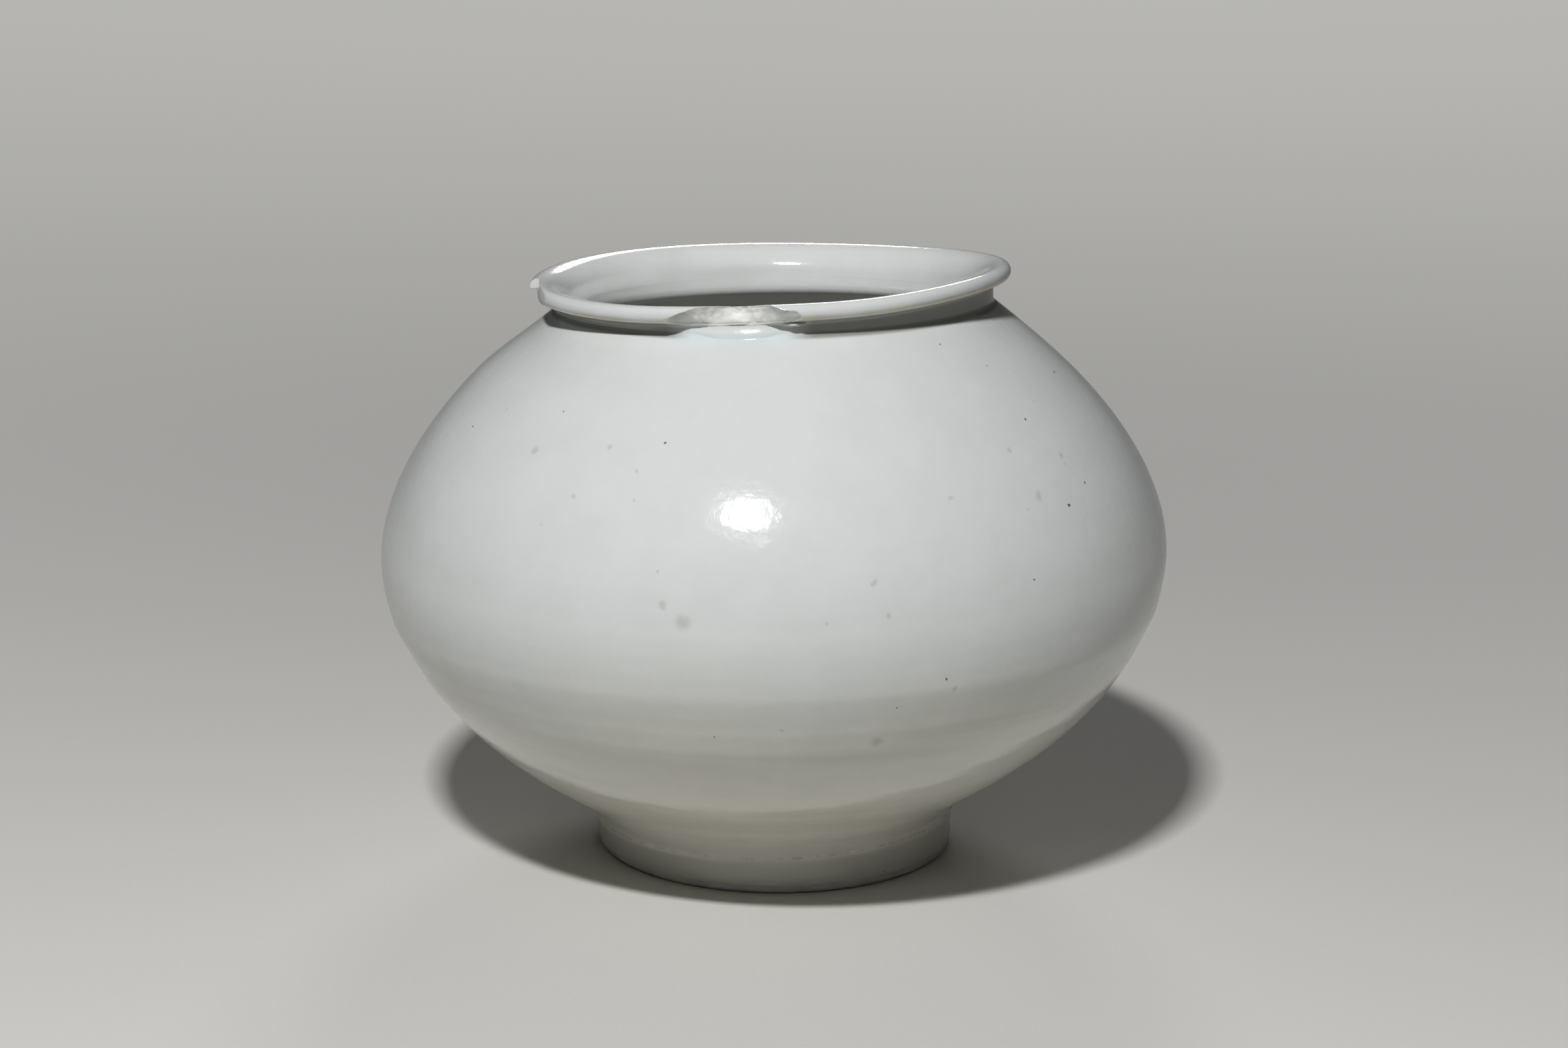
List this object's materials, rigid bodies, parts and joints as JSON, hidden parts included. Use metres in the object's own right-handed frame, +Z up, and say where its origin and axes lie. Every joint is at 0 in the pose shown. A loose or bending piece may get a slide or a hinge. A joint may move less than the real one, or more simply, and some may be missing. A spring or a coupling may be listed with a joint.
{
  "type": "porcelain jar",
  "caption": "Squat round white-porcelain moon jar with a wide belly, flared rolled mouth rim and low foot ring, for storing and display.",
  "frame": {"origin": "on the floor, straight under the middle of the belly", "axes": "+Z up, -Y towards the front with the chipped lip, +X to the right; the thrown body leans 1.64 degrees towards -X, so its foot ring stands about 3 mm to the +X side of the origin"},
  "size_m": [0.2998, 0.3, 0.2264],
  "materials": {
    "fired_clay": "bare fired porcelain body, fine and matt",
    "fired_slip": "fired porcelain slip, fine and matt",
    "clear_glaze": "glossy clear glaze with a faint blue cast over white porcelain"
  },
  "bodies": {
    "root": {"foot_ring": "fired_clay", "foot_slip": "fired_slip", "lower_bowl": "fired_clay", "belly_slip": "fired_slip", "upper_bowl": "fired_clay", "neck_slip": "fired_slip", "mouth_rim": "fired_clay", "inner_glaze": "clear_glaze", "outer_glaze": "clear_glaze", "well_glaze": "clear_glaze"}
  },
  "joints": []
}
